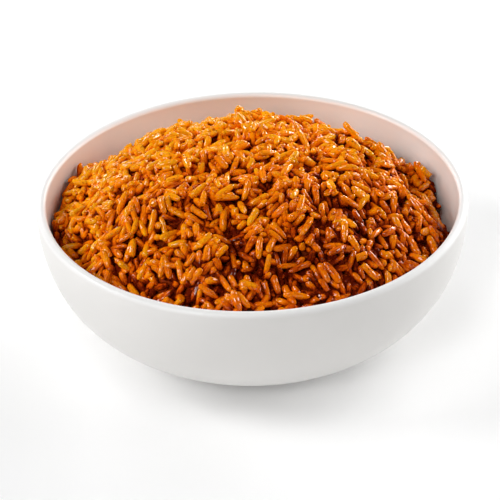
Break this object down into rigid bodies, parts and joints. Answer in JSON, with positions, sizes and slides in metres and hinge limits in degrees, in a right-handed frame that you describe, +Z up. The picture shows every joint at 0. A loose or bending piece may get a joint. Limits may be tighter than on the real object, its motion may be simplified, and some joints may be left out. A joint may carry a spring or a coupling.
{
  "type": "bowl of rice",
  "caption": "Round deep bowl with a plain rolled lip and a low foot, filled above its rim with a craggy heap of seasoned long-grain rice.",
  "frame": {"origin": "middle of the foot ring, on the surface that the bowl stands on", "axes": "+Z up along the bowl's axis; -Y is the side that the heap's low front faces"},
  "size_m": [0.1652, 0.1652, 0.0735],
  "materials": {
    "white_glaze": "satin white glaze on fired clay",
    "spiced_rice": "moist, lightly oiled grains"
  },
  "bodies": {
    "root": {"bowl": "white_glaze", "rice": "spiced_rice"}
  },
  "joints": []
}
